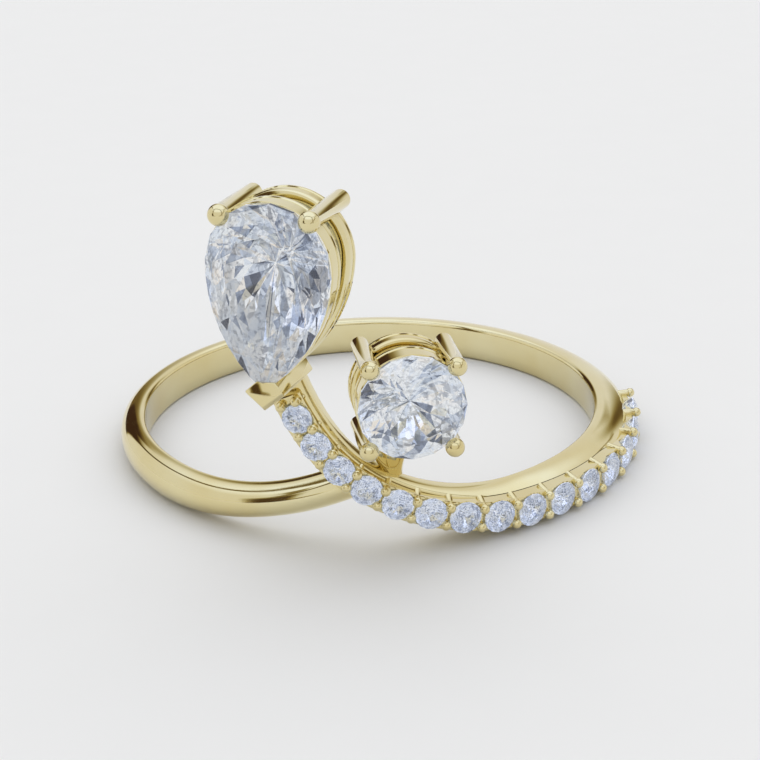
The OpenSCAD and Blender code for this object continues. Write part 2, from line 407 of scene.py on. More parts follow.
class Value:
    """A shader value. Arithmetic on it adds Math nodes."""

    def __init__(self, graph: "Graph", socket: Any) -> None:
        """Wraps an output socket of a graph."""
        self.graph = graph
        self.socket = socket

    def _math(self, operation: str, *values: "Value | float") -> "Value":
        """Adds a Math node on these values."""
        node = self.graph.node(
            "ShaderNodeMath", {"operation": operation}, dict(enumerate(values))
        )
        return Value(self.graph, node.outputs[0])

    def __add__(self, other: "Value | float") -> "Value":
        """Sum."""
        return self._math("ADD", self, other)

    def __mul__(self, other: "Value | float") -> "Value":
        """Product."""
        return self._math("MULTIPLY", self, other)

    def __abs__(self) -> "Value":
        """Size without sign."""
        return self._math("ABSOLUTE", self)

    def highest(self, other: "Value | float") -> "Value":
        """The larger of two values."""
        return self._math("MAXIMUM", self, other)

    def step(self, low: float, high: float) -> "Value":
        """A smooth step from 0 at low to 1 at high.

        Args:
            low: The value that gives 0.
            high: The value that gives 1, which may be the smaller one.

        Returns:
            The smooth step.
        """
        node = self.graph.node(
            "ShaderNodeMapRange",
            {"interpolation_type": "SMOOTHSTEP"},
            {"Value": self, "From Min": low, "From Max": high, "To Min": 0.0, "To Max": 1.0},
        )
        return Value(self.graph, node.outputs["Result"])


class Graph:
    """The node tree of a material or of the studio's surroundings."""

    def __init__(self, tree: bpy.types.NodeTree) -> None:
        """Empties a node tree for use."""
        self.tree = tree
        tree.nodes.clear()

    def node(
        self, kind: str, settings: dict[str, Any], inputs: dict[Any, Any]
    ) -> bpy.types.Node:
        """Adds a node.

        Args:
            kind: The node's type.
            settings: Its settings, which are set first. "stops" are a ramp's stops.
            inputs: The value or link of each input, by name or number.

        Returns:
            The node.
        """
        made = self.tree.nodes.new(kind)
        for key, setting in settings.items():
            if key == "stops":
                ramp = made.color_ramp
                while len(ramp.elements) < len(setting):
                    ramp.elements.new(1.0)
                for element, (position, colour) in zip(ramp.elements, setting):
                    element.position, element.color = position, (*colour, 1.0)
            else:
                setattr(made, key, setting)
        for key, value in inputs.items():
            if isinstance(value, Value):
                self.tree.links.new(value.socket, made.inputs[key])
            elif isinstance(value, bpy.types.NodeSocket):
                self.tree.links.new(value, made.inputs[key])
            elif isinstance(value, tuple) and len(value) == 3 and made.inputs[key].type == "RGBA":
                made.inputs[key].default_value = (*value, 1.0)
            else:
                made.inputs[key].default_value = value
        return made

    def noise(self, scale: float, detail: float, stretch: Point = (1, 1, 1)) -> Value:
        """Noise on the piece's own coordinates.

        Args:
            scale: Ripples per metre.
            detail: Octaves of the noise.
            stretch: Scale along each axis.

        Returns:
            The noise value, round 0.5.
        """
        coordinates = self.node("ShaderNodeTexCoord", {}, {})
        mapping = self.node(
            "ShaderNodeMapping",
            {},
            {"Vector": coordinates.outputs["Object"], "Scale": stretch},
        )
        noise = self.node(
            "ShaderNodeTexNoise",
            {},
            {"Vector": mapping.outputs[0], "Scale": scale, "Detail": detail},
        )
        return Value(self, noise.outputs["Fac"])

    def dot(self, vector: Any, direction: Vector) -> Value:
        """Cosine between a linked direction and a fixed one."""
        node = self.node(
            "ShaderNodeVectorMath", {"operation": "DOT_PRODUCT"}, {0: vector, 1: tuple(direction)}
        )
        return Value(self, node.outputs["Value"])

    def blend(self, low: Any, high: Any, share: "Value | float", how: str = "MIX") -> Any:
        """Mixes two colours by a value.

        Args:
            low: The colour or link at 0.
            high: The colour or link at 1.
            share: The value.
            how: The way of mixing.

        Returns:
            The mixed colour's socket.
        """
        made = self.node(
            "ShaderNodeMix", {"data_type": "RGBA", "blend_type": how}, {0: share, 6: low, 7: high}
        )
        return made.outputs[2]

    def surface(self, kind: str, inputs: dict[Any, Any], output: str = "Material") -> None:
        """Adds the shader that the graph ends in.

        Args:
            kind: The shader's type.
            inputs: The value or link of each of its inputs.
            output: What the graph belongs to, Material or World.
        """
        shader = self.node(f"ShaderNode{kind}", {}, inputs)
        self.node(f"ShaderNodeOutput{output}", {}, {"Surface": shader.outputs[0]})


def new_material(name: str) -> tuple[bpy.types.Material, Graph]:
    """Makes a material with an empty node tree.

    Args:
        name: The material's name.

    Returns:
        The material and its graph.
    """
    material = bpy.data.materials.new(name)
    material.use_nodes = True
    return material, Graph(material.node_tree)


@dataclass(frozen=True)
class PolishedGold:
    """Mirror-polished yellow gold with faint polishing lines and a warm, uneven tone."""

    name: str = "polished_yellow_gold"
    pale: Colour = (0.8, 0.72, 0.43)
    warm: Colour = (0.74, 0.62, 0.3)
    gloss: float = 0.045
    haze: float = 0.07
    coat: float = 0.4
    cloud_scale: float = 260.0
    smear_scale: float = 1500.0
    line_scale: float = 9000.0
    line_stretch: Point = (1.0, 1.0, 0.18)
    line_depth: float = 0.0000012
    line_strength: float = 0.25

    def make(self) -> bpy.types.Material:
        """Builds the material.

        Returns:
            The material.
        """
        material, graph = new_material(self.name)
        cloud = graph.noise(self.cloud_scale, 3.0)
        lines = graph.noise(self.line_scale, 4.0, self.line_stretch)
        smears = graph.noise(self.smear_scale, 2.0)
        colour = graph.blend(self.pale, self.warm, cloud.step(0.3, 0.7))
        bump = graph.node(
            "ShaderNodeBump",
            {},
            {"Height": lines, "Strength": self.line_strength, "Distance": self.line_depth},
        )
        graph.surface(
            "BsdfPrincipled",
            {
                "Base Color": colour,
                "Metallic": 1.0,
                "Roughness": smears.step(0.3, 0.8) * self.haze + self.gloss,
                "Coat Weight": self.coat,
                "Normal": bump.outputs["Normal"],
            },
        )
        return material


@dataclass(frozen=True)
class CutStone:
    """A clear stone: glass above its girdle, and below it facets that mirror the light and
    glow with painted sparkle.

    Each facet below the girdle has its own painted light and shade tone, which its "facet"
    value picks, with a share from small cells inside it. The tone is both the facets' mirror
    colour and an emitted glow, so the pavilion glows though it is no lamp. Sizes are in
    millimetres.
    """

    name: str
    # The pavilion's painted sparkle: tones of painted light and shade that its facets mirror and
    # glow with.
    painted_sparkle_tones: tuple[tuple[float, Colour], ...]
    cell_size: float
    cell_share: float
    cloud_size: float
    speck_size: float
    specks: float
    # Strength of the pavilion's painted glow.
    painted_glow: float
    index: float = 1.75
    mirror: float = 0.65
    white: Colour = (1.0, 1.0, 1.0)
    breath: Colour = (0.96, 0.98, 1.0)
    haze: float = 0.01
    # A painted pale blue sheen in patches over the facets.
    painted_sheen_tone: Colour = (0.9, 0.94, 1.0)
    cloud_share: float = 0.15
    satin: float = 0.02
    # Painted dark flecks over the facets.
    painted_fleck_tone: Colour = (0.12, 0.15, 0.22)

    def make(self) -> list[bpy.types.Material]:
        """Builds the materials.

        Returns:
            The finish of the crown and the finish of the pavilion.
        """
        return [self.crown(), self.pavilion()]

    def crown(self) -> bpy.types.Material:
        """Builds the clear finish with the faintest breath of blue.

        Returns:
            The material.
        """
        material, graph = new_material(f"{self.name}_crown")
        drift = graph.noise(1 / (MM * self.cloud_size), 2.0)
        haze = graph.noise(4 / (MM * self.cloud_size), 2.0)
        graph.surface(
            "BsdfPrincipled",
            {
                "Base Color": graph.blend(self.white, self.breath, drift),
                "Roughness": haze.step(0.5, 0.9) * self.haze,
                "IOR": self.index,
                "Transmission Weight": 1.0,
            },
        )
        return material

    def pavilion(self) -> bpy.types.Material:
        """Builds the mirroring finish with painted sparkle: its painted light and shade tone
        changes from facet to facet, and it glows.

        Returns:
            The material.
        """
        material, graph = new_material(f"{self.name}_pavilion")
        facet = graph.node("ShaderNodeAttribute", {"attribute_name": "facet"}, {})
        place = graph.node("ShaderNodeTexCoord", {}, {}).outputs["Object"]
        size = {"Vector": place, "Scale": 1 / (MM * self.cell_size)}
        cells = graph.node("ShaderNodeTexVoronoi", {"feature": "F1"}, size)
        cell = graph.dot(cells.outputs["Color"], Vector((self.cell_share, 0, 0)))
        pick = Value(graph, facet.outputs["Fac"]) * (1 - self.cell_share) + cell
        # Painted sparkle: each facet's tone of painted light and shade, from the value that it
        # picks.
        ramp = graph.node("ShaderNodeValToRGB", {"stops": self.painted_sparkle_tones}, {"Fac": pick})
        # Painted pale blue sheen in patches.
        cloud = graph.noise(1 / (MM * self.cloud_size), 3.0).step(0.35, 0.75)
        tone = graph.blend(ramp.outputs["Color"], self.painted_sheen_tone, cloud * self.cloud_share)
        # Painted dark flecks.
        speck = graph.noise(1 / (MM * self.speck_size), 2.0).step(0.55, 0.63)
        tone = graph.blend(tone, self.painted_fleck_tone, speck * self.specks)
        # The painted tone is the mirror's colour and also an emission, a painted glow.
        graph.surface(
            "BsdfPrincipled",
            {
                "Base Color": graph.blend((0.0, 0.0, 0.0), tone, self.mirror),
                "Metallic": 1.0,
                "Roughness": cloud * self.satin,
                "Emission Color": tone,
                "Emission Strength": self.painted_glow,
            },
        )
        return material


# The pieces


@dataclass
class Band:
    """The shank and its two arms, as one sweep from the pear head round to the front.

    Pairs of numbers named turns are the turns between which a thing begins and ends.
    """

    bore_r: float = 8.3
    width: float = 1.42
    thickness: float = 1.12
    side_extra: float = 0.18
    back_extra: float = 0.1
    edge_r: float = 0.18
    dome_power: float = 2.1
    set_start: float = 34.0
    set_end: float = -16.2
    climb_slow: float = 2.66
    climb_steep: float = 1.34
    climb_span: float = 47.1
    set_inner: float = 0.58
    set_width: float = 1.26
    set_thickness: float = 0.66
    set_edge: float = 0.1
    set_power: float = 6.0
    plain_start: float = 55.0
    plain_end: float = 1.5
    plain_climb: float = 1.7
    plain_power: float = 2.45
    plain_width: float = 1.14
    plain_slim: float = 0.06
    plain_rate: float = 1.4
    groove_r: float = 8.88
    groove_least: float = 0.12
    groove_turns: tuple[float, float] = (-13.7, 92.0)
    groove_open: tuple[float, float] = (24.0, 61.0)
    groove_fade: float = 4.0
    groove_gap: float = 0.012
    groove_tuck: float = -0.03
    groove_most: float = 0.45
    bed: tuple[float, float, float] = (0.455, 0.545, 0.4)
    bed_turns: tuple[float, float] = (58.0, 70.0)
    row_drop: float = 0.08
    row_turns: tuple[float, float] = (20.0, 60.0)
    step: float = 1.4
    flank_steps: int = 18
    groove_steps: int = 5
    corner_steps: int = 6
    wall_steps: int = 4

    def set_height(self, turn: float) -> float:
        """Height of the set arm's middle line at a turn."""
        share = max(0.0, (self.set_start - turn) / self.climb_span)
        return self.climb_slow * share**2 + self.climb_steep * share**7

    def plain_height(self, turn: float) -> float:
        """Height of the plain arm's middle line at a turn on its own side."""
        return self.plain_climb * max(0.0, 1 - turn / self.plain_start) ** self.plain_power

    def inner_radius(self, turn: float) -> float:
        """Radius of the band's inner wall at a turn."""
        return self.bore_r + self.set_inner * part(turn, self.set_start, self.set_end)

    def row_shift(self, turn: float) -> float:
        """How far the row lies below the band's middle line at a turn."""
        return self.row_drop * part(turn, *self.row_turns)

    def bed_half(self, turn: float) -> float:
        """Half the width at a turn of the wall that the small stones sit on."""
        start, (widest, _) = self.groove_turns[0], self.bed_turns
        share = min(1.0, max(0.0, (turn - start) / (widest - start)))
        wide = mix(self.bed[0], self.bed[1], share)
        return mix(wide, self.bed[2], part(turn, *self.bed_turns))

    def groove_half(self, turn: float) -> float:
        """Half the groove's width at a turn, wider than the wall only where it shows."""
        (start, end), fade = self.groove_open, self.groove_fade
        shown = part(turn, start - fade, start) * part(turn, end + fade, end)
        return self.bed_half(turn) + mix(self.groove_tuck, self.groove_gap, shown)

    def groove_floor(self, turn: float) -> float:
        """Radius of the groove's floor at a turn."""
        return max(self.inner_radius(turn) + self.groove_least, self.groove_r)

    @staticmethod
    def slope(height: Callable[[float], float], turn: float, radius: float) -> float:
        """Climb angle in degrees of a height law at a turn and radius."""
        rise = height(turn - SLOPE_STEP / 2) - height(turn + SLOPE_STEP / 2)
        return math.degrees(math.atan(rise / math.radians(SLOPE_STEP * radius)))

    def outline(
        self,
        width: float,
        thick: float,
        edge: float,
        power: float,
        lips: tuple[float, float],
        floor: float,
    ) -> Outline:
        """Outline of the band, as depth from the inner wall and place across.

        Args:
            width: Width of the band.
            thick: Thickness at its crown.
            edge: Rounding of the inner edges.
            power: Fullness of the dome.
            lips: Places across of the groove's two lips.
            floor: Depth of the groove's floor, or the thickness where there is no groove.

        Returns:
            The points of the outline.
        """

        def flank(lip: float) -> Outline:
            """The dome's left flank, from the band's edge up to a lip of the groove."""
            end = math.degrees(math.asin((2 * lip / width) ** (power / 2)))
            return [
                (
                    edge + (thick - edge) * bent(cos(v), 2 / power),
                    width / 2 * bent(sin(v), 2 / power),
                )
                for v in evenly(-90, -end, self.flank_steps)
            ]

        groove = []
        for across in evenly(*lips, self.groove_steps):
            crown = (1 - abs(2 * across / width) ** power) ** (1 / power)
            groove.append((min(floor, edge + (thick - edge) * crown), across))
        right = [(depth, -across) for depth, across in reversed(flank(lips[1]))]
        dome = flank(-lips[0]) + groove + right
        side = width / 2 - edge
        high = [
            (edge + edge * cos(v), side + edge * sin(v))
            for v in evenly(90, 180, self.corner_steps)[1:]
        ]
        low = [
            (edge + edge * cos(v), edge * sin(v) - side)
            for v in evenly(180, 270, self.corner_steps)[:-1]
        ]
        wall = [(0.0, across) for across in evenly(side, -side, self.wall_steps)[1:-1]]
        return dome + high + wall + low

    def section(self, turn: float) -> list[Point]:
        """The band's section at a turn from the set arm's end to the plain arm's.

        Args:
            turn: Degrees from the front, growing past 180 towards the plain arm.

        Returns:
            The section's points in place.
        """
        inner, side = self.inner_radius(turn), 1.0
        width, edge, power = self.width, self.edge_r, self.dome_power
        thick = self.thickness + self.side_extra * sin(turn) - self.back_extra * cos(turn)
        height = climb = 0.0
        own = 360.0 - turn
        if turn < self.set_start:
            slim = part(turn, self.set_start, self.set_end)
            thick = mix(thick, self.set_thickness, slim)
            width = mix(width, self.set_width, slim)
            edge = mix(edge, self.set_edge, slim)
            power = mix(power, self.set_power, slim)
            height = self.set_height(turn)
            climb = self.slope(self.set_height, turn, inner)
        elif own < self.plain_start:
            side = -1.0
            gone = (self.plain_start - own) / (self.plain_start - self.plain_end)
            slim = ease(self.plain_rate * gone)
            width = mix(width, self.plain_width, slim)
            thick -= self.plain_slim * slim
            height = self.plain_height(own)
            climb = self.slope(self.plain_height, own, inner)
        start, end = self.groove_turns
        half, low = self.groove_half(turn), self.row_shift(turn)
        most = self.groove_most * width
        lips = (max(-most, -half - low), min(most, half - low))
        floor = self.groove_floor(turn) - inner if start < turn < end else thick
        points = []
        for depth, across in self.outline(width, thick, edge, power, lips, floor):
            lean = side * math.degrees(across * sin(climb) / inner)
            points.append(on_ring(turn + lean, inner + depth, height + across * cos(climb)))
        return points

    def build(self, gold: bpy.types.Material) -> None:
        """Builds the band.

        Args:
            gold: Its finish.
        """
        work = Workpiece("band_with_arms")
        first, last = self.set_end, 360.0 - self.plain_end
        count = round((last - first) / self.step)
        work.loft([self.section(turn) for turn in evenly(first, last, count)])
        work.finish([gold], Slot.GOLD, ["gold_mount"], crease=60)


@dataclass
class SmallRow:
    """The row of small stones on the set arm, with its wall and its beaded prongs."""

    band: Band
    start: float = -14.5
    count: int = 15
    first_d: float = 0.98
    last_d: float = 1.24
    first_pitch: float = 1.07
    last_pitch: float = 1.86
    radius: float = 9.76
    bead_d: float = 0.34
    bar_d: float = 0.265
    spread: float = 0.237
    splay: float = 0.22
    wall_top: float = 0.06
    wall_root: float = 0.04
    wall_ends: tuple[float, float] = (-0.5, -0.6)
    wall_steps: int = 220
    wall_shares: tuple[float, ...] = (-0.94, -0.8, -0.6, -0.3, 0.0, 0.3, 0.6, 0.8, 0.94)
    wall_edge: float = 0.02
    seat_gap: float = 0.03
    foot: float = 0.45
    tip: float = 0.08
    post_steps: int = 12
    post_sides: int = 20
    tiers: tuple[tuple[float, int], ...] = ((0.84, 2), (0.62, 2), (0.4, 2), (0.2, 1))
    scatter: float = 0.35
    first_seed: int = 10
    sides: int = 64
    pairs: list[float] = field(default_factory=list)
    cuts: list["Brilliant"] = field(default_factory=list)

    def __post_init__(self) -> None:
        """Works out the turn of each pair of prongs and the cut of each stone."""
        turn = self.start
        for i in range(self.count + 1):
            self.pairs.append(turn)
            half = self.turn_step(turn, self.pitch(i)) / 2
            turn += self.turn_step(turn + half, self.pitch(i))
        for i in range(self.count):
            self.cuts.append(
                Brilliant(
                    circle_outline(self.size(i) / 2, self.sides),
                    self.size(i),
                    tiers=self.tiers,
                    scatter=self.scatter,
                    seed=self.first_seed + i,
                )
            )

    def height(self, turn: float) -> float:
        """Height of the row at a turn."""
        return self.band.set_height(turn) - self.band.row_shift(turn)

    def climb(self, turn: float) -> float:
        """Climb angle of the row at a turn."""
        return self.band.slope(self.band.set_height, turn, self.radius)

    def size(self, i: int) -> float:
        """Diameter of small stone i."""
        return mix(self.first_d, self.last_d, i / (self.count - 1))

    def pitch(self, i: int) -> float:
        """Distance from prong pair i to the next."""
        return mix(self.first_pitch, self.last_pitch, min(i / (self.count - 1), 1) ** 2)

    def turn_step(self, turn: float, length: float) -> float:
        """Turn that a step of a length along the row takes."""
        return math.degrees(length * cos(self.climb(turn)) / self.radius)

    def seat(self, turn: float, radius: float) -> Matrix:
        """The frame of a seat or prong at a turn, turned with the arm's climb."""
        return outward(turn, radius, self.height(turn)) @ turned(-self.climb(turn), "Z")

    def middle(self, i: int) -> float:
        """Turn of small stone i."""
        return (self.pairs[i] + self.pairs[i + 1]) / 2

    def seat_depth(self, turn: float, across: float) -> float:
        """Depth of the wall's top below the girdles, in a stone's seat or between two.

        Args:
            turn: Degrees from the front.
            across: Place across the wall.

        Returns:
            The depth.
        """
        depth = self.wall_top
        for i, cut in enumerate(self.cuts):
            along = math.radians(turn - self.middle(i)) * self.radius / cos(self.climb(turn))
            share = 2 * math.hypot(along, across) / cut.width
            if share < 1:
                depth = max(depth, cut.depth(share) + self.seat_gap)
        return depth

    def wall(self, work: Workpiece) -> None:
        """Adds the wall under the stones, with a seat in its top for each of them.

        Args:
            work: The workpiece.
        """
        first, last = self.pairs[0] + self.wall_ends[0], self.pairs[-1] + self.wall_ends[1]
        sections = []
        for turn in evenly(last, first, self.wall_steps):
            half = self.band.bed_half(turn)
            climb = self.climb(turn)
            base = self.band.groove_floor(turn) - self.wall_root
            top = [
                (self.radius - base - self.seat_depth(turn, half * share), half * share)
                for share in self.wall_shares
            ]
            profile = [(0.0, -half), (top[0][0] - self.wall_edge, -half)] + top
            profile += [(top[-1][0] - self.wall_edge, half), (0.0, half)]
            sections.append(
                [
                    on_ring(
                        turn + math.degrees(across * sin(climb) / base),
                        base + depth,
                        self.height(turn) + across * cos(climb),
                    )
                    for depth, across in profile
                ]
            )
        work.loft(sections)

    def prongs(self, work: Workpiece) -> None:
        """Adds the pairs of beaded prongs.

        Args:
            work: The workpiece.
        """
        length = self.foot + self.tip
        bar, bead = self.bar_d / 2, self.bead_d / 2
        profile = [(0.0, 0.0), (bar, 0.0)] + round_head(bar, bead, length, self.post_steps)
        for k, turn in enumerate(self.pairs):
            near = self.spread * self.pitch(k)
            away = min(near + self.splay, self.band.bed_half(turn))
            tilt = math.degrees(math.atan((away - near) / length))
            for side in (-1, 1):
                work.lathe(
                    profile,
                    self.post_sides,
                    self.seat(turn, self.radius - self.foot)
                    @ Matrix.Translation((0, side * away, 0))
                    @ turned(side * tilt, "X"),
                )

    def build(self, gold: bpy.types.Material, clear: Sequence[bpy.types.Material]) -> None:
        """Builds the row.

        Args:
            gold: The finish of the wall and the prongs.
            clear: The finishes of the small stones.
        """
        work = Workpiece("small_row_setting")
        self.wall(work)
        self.prongs(work)
        work.finish([gold], Slot.GOLD, ["gold_mount"], crease=35)
        for i, cut in enumerate(self.cuts):
            name = f"small_stone_{i + 1:02d}"
            seat = self.seat(self.middle(i), self.radius)
            cut.build(name, seat, clear, Slot.SMALL, f"pave_stone_{i + 1:02d}")


@dataclass
class Brilliant:
    """A brilliant cut on any outline: table, stars, kites, girdle and a tiered pavilion."""

    outline: Outline
    width: float
    tiers: tuple[tuple[float, int], ...]
    scatter: float
    seed: int
    mains: int = 8
    table: float = 0.57
    star: float = 0.77
    crown: float = 0.15
    girdle: float = 0.015
    pavilion: float = 0.42
    bulge: float = 0.86
    sway: float = 0.2
    widest: float = 0.97
    point: float = 0.02
    crown_slope: float = 0.2

    def level(self, share: float, height: float, first: float, count: int) -> list[Point]:
        """Points of the outline at a share of its size.

        Args:
            share: The share of the outline's size.
            height: The height that they lie at.
            first: Where the first one is, in steps between two points.
            count: How many there are round the outline.

        Returns:
            The points.
        """
        total = len(self.outline)
        chosen = [self.outline[round((i + first) * total / count) % total] for i in range(count)]
        return [(x * share, y * share, height) for x, y in chosen]

    def tier(self, share: float, first: float, count: int, draw: random.Random) -> list[Point]:
        """Points of the pavilion at a share of the outline's size, scattered a little.

        Args:
            share: The share of the outline's size.
            first: Where the first one is, in steps between two points.
            count: How many there are round the outline.
            draw: The source of the scatter.

        Returns:
            The points, all on the pavilion's full form.
        """
        points = []
        for i in range(count):
            stray = self.sway * self.scatter * draw.uniform(-1, 1)
            near = min(self.widest, share * (1 + stray))
            turn = first + i + self.scatter * draw.uniform(-1, 1)
            points += self.level(near, -self.depth(near), turn, count)[:1]
        return points

    def depth(self, share: float) -> float:
        """Depth of the pavilion at a share of the outline's size."""
        return self.width * (self.girdle + self.pavilion * (1 - share) ** self.bulge)

    def build(
        self,
        name: str,
        place: Matrix,
        clear: Sequence[bpy.types.Material],
        slot: Slot,
        node: str,
    ) -> None:
        """Builds the stone.

        Args:
            name: The piece's name.
            place: The frame of its seat.
            clear: The finishes of its crown and pavilion.
            slot: The record's slot.
            node: The CAD node that it stands for.
        """
        high, top = self.girdle * self.width, self.crown * self.width
        steep = (top - high) / (1 - self.table)
        points = self.level(self.table, top, 0, self.mains)
        points += self.level(
            self.star, high + steep * (1 - self.star * cos(180 / self.mains)), 0.5, self.mains
        )
        points += self.level(1.0, high, 0, self.mains * 2)
        points += self.level(1.0, -high, 0, self.mains * 2)
        draw = random.Random(self.seed)
        for k, (share, fold) in enumerate(self.tiers):
            points += self.tier(share, 0.5 * ((k + 1) % 2), self.mains * fold, draw)
        points += self.level(self.point, -self.depth(self.point), 0, self.mains)
        work = Workpiece(name)
        work.hull(points, place)
        self.tone(work.mesh, place.inverted())
        work.finish(clear, slot, [node], crease=1)

    def tone(self, mesh: bmesh.types.BMesh, back: Matrix) -> None:
        """Parts the crown from the pavilion and gives each facet its own value, which picks the
        facet's painted sparkle tone.

        Args:
            mesh: The stone's mesh.
            back: The way back to the stone's own frame.
        """
        facet = mesh.faces.layers.float.new("facet")
        draw = random.Random(self.seed)

        def place_of(face: bmesh.types.BMFace) -> tuple[float, float]:
            """Height and direction of a facet in the stone's frame."""
            middle = back @ face.calc_center_median()
            return round(middle.z, 3), round(math.atan2(middle.y, middle.x), 3)

        for face in sorted(mesh.faces, key=place_of):
            # A random value per facet, which picks its painted light and shade tone.
            face[facet] = draw.random()
            face.material_index = int((back.to_3x3() @ face.normal).z < self.crown_slope)


@dataclass
class RodProng:
    """A straight rod that ends in a round head."""

    diameter: float
    back: float
    front: float = 0.12
    head: float = 1.1
    edge: float = 0.04
    steps: int = 20
    sides: int = 48

    def add(self, work: Workpiece, place: Matrix) -> None:
        """Adds the rod to a workpiece.

        Args:
            work: The workpiece.
            place: The frame of the rod's middle at the girdle.
        """
        rod, head = self.diameter / 2, self.diameter * self.head / 2
        profile = [(0.0, -self.back), (rod - self.edge, -self.back)]
        profile += [(rod, self.edge - self.back)]
        profile += round_head(rod, head, self.front, self.steps)
        work.lathe(profile, self.sides, place)


@dataclass
class PearHead:
    """The pear stone's setting: two rails, two rods and a V prong over the point."""

    turn: float = -14.0
    radius: float = 11.4
    height: float = 9.38
    face: float = -20.0
    lean: float = -4.9
    width: float = 3.92
    length: float = 5.78
    ease_out: float = 0.04
    rail_t: float = 0.34
    rail_point: float = 2.6
    rail_steps: int = 40
    stone_steps: int = 48
    rail_bevel: float = 0.1
    rails: tuple[tuple[float, float, float], ...] = ((-0.1, -0.78, -0.58), (-1.38, -2.0, -1.38))
    rod: RodProng = field(default_factory=lambda: RodProng(diameter=0.6, back=2.43))
    rod_inset: tuple[float, float] = (0.56, 0.42)
    tip: tuple[tuple[float, float], ...] = (
        (-0.84, -0.18),
        (-0.47, 0.32),
        (0.11, 0.32),
        (0.36, -0.1),
        (-0.26, -0.6),
    )
    tip_back: float = -2.25
    tip_front: float = 0.22
    tip_bevel: float = 0.17
    tip_slope: float = 0.2
    tip_middle: float = -0.14
    tip_edge: float = 0.025
    tiers: tuple[tuple[float, int], ...] = (
        (0.9, 3),
        (0.77, 3),
        (0.62, 2),
        (0.46, 2),
        (0.3, 1),
        (0.15, 1),
    )

    def place(self) -> Matrix:
        """The head's frame."""
        return (
            turned(self.turn, "Z")
            @ Matrix.Translation((0, -self.radius, self.height))
            @ turned(self.face - self.turn, "Z")
            @ turned(90, "X")
        )

    def build(self, gold: bpy.types.Material, clear: Sequence[bpy.types.Material]) -> None:
        """Builds the setting and its stone.

        Args:
            gold: The finish of the setting.
            clear: The finishes of the stone.
        """
        work = Workpiece("pear_setting")
        leaned = self.place() @ turned(self.lean, "Z")
        more, steps = self.ease_out, self.rail_steps
        outer = pear_outline(self.width + more, self.length + more, steps)
        inner = pear_outline(
            self.width - 2 * self.rail_t, self.length - self.rail_point * self.rail_t, steps
        )
        for front, back, seat in self.rails:
            add_rail(work, outer, inner, (front, back, seat), self.rail_bevel, leaned)
        self.v_prong(work)
        across, up = (self.width / 2 - inset for inset in self.rod_inset)
        for side in (-1, 1):
            self.rod.add(work, self.place() @ Matrix.Translation((side * across, up, 0)))
        work.finish([gold], Slot.GOLD, ["gold_mount"], crease=35)
        cut = Brilliant(
            pear_outline(self.width, self.length, self.stone_steps),
            self.width,
            mains=12,
            tiers=self.tiers,
            scatter=0.5,
            seed=5,
        )
        cut.build("pear_cut_stone", leaned, clear, Slot.PEAR, "pear_stone")

    def v_prong(self, work: Workpiece) -> None:
        """Adds the V prong: a five-sided bar, bevelled below its front.

        Args:
            work: The workpiece.
        """
        point = self.length - self.width / 2
        corners = [(x, y, self.tip_back) for x, y in self.tip]
        front = [self.tip_front - self.tip_slope * (y - self.tip_middle) for _, y in self.tip]
        corners += [(x, y, z - self.tip_bevel) for (x, y), z in zip(self.tip, front)]
        corners += [
            (x, y + (0 if y > 0 else self.tip_bevel), z) for (x, y), z in zip(self.tip, front)
        ]
        place = self.place() @ Matrix.Translation((0, -point, 0))
        work.hull(corners, place, bevel=self.tip_edge)


@dataclass
class RoundHead:
    """The round stone's setting: two rails, four rods and a foot on the set arm."""

    turn: float = 6.8
    radius: float = 11.4
    height: float = 5.03
    face: float = 8.4
    lean: float = -1.8
    diameter: float = 3.32
    reach: float = 0.392
    rail_t: float = 0.34
    rail_bevel: float = 0.1
    rails: tuple[tuple[float, float, float], ...] = ((-0.1, -0.86, -0.5), (-1.42, -2.04, -1.42))
    rod: RodProng = field(default_factory=lambda: RodProng(diameter=0.54, back=2.1))
    foot_ends: tuple[Point, Point] = ((-0.52, -1.7, -1.7), (-0.26, -3.3, -2.58))
    foot_halves: tuple[tuple[float, float], ...] = ((0.68, 0.34), (0.3, 0.28))
    rail_sides: int = 96
    stone_sides: int = 128
    foot_power: float = 0.85
    foot_steps: int = 12
    foot_sides: int = 28

    def place(self) -> Matrix:
        """The head's frame."""
        return outward(self.turn, self.radius, self.height) @ turned(self.face - self.turn, "Y")

    def build(self, gold: bpy.types.Material, clear: Sequence[bpy.types.Material]) -> None:
        """Builds the setting and its stone.

        Args:
            gold: The finish of the setting.
            clear: The finishes of the stone.
        """
        work = Workpiece("round_setting")
        outer = circle_outline(self.diameter / 2, self.rail_sides)
        inner = circle_outline(self.diameter / 2 - self.rail_t, self.rail_sides)
        for front, back, seat in self.rails:
            add_rail(work, outer, inner, (front, back, seat), self.rail_bevel, self.place())
        self.foot(work)
        away = self.reach * self.diameter
        for x in (-away, away):
            for y in (-away, away):
                spot = turned(self.lean, "Z") @ Matrix.Translation((x, y, 0))
                self.rod.add(work, self.place() @ spot)
        work.finish([gold], Slot.GOLD, ["gold_mount"], crease=35)
        cut = Brilliant(
            circle_outline(self.diameter / 2, self.stone_sides),
            self.diameter,
            tiers=((0.84, 2), (0.62, 2), (0.42, 2), (0.22, 1)),
            scatter=0.18,
            seed=3,
        )
        cut.build("round_cut_stone", self.place(), clear, Slot.ROUND, "round_stone")

    def foot(self, work: Workpiece) -> None:
        """Adds the foot: a rounded leg from the back rail down to the set arm.

        Args:
            work: The workpiece.
        """
        sections = []
        for share in evenly(0, 1, self.foot_steps):
            x, y, z = (mix(top, low, share) for top, low in zip(*self.foot_ends))
            half_x = mix(*self.foot_halves[0], ease(share))
            half_z = mix(*self.foot_halves[1], share)
            sections.append(
                [
                    (
                        x + half_x * bent(cos(v), self.foot_power),
                        y,
                        z + half_z * bent(sin(v), self.foot_power),
                    )
                    for v in evenly(0, 360, self.foot_sides)[:-1]
                ]
            )
        work.loft(sections, self.place())


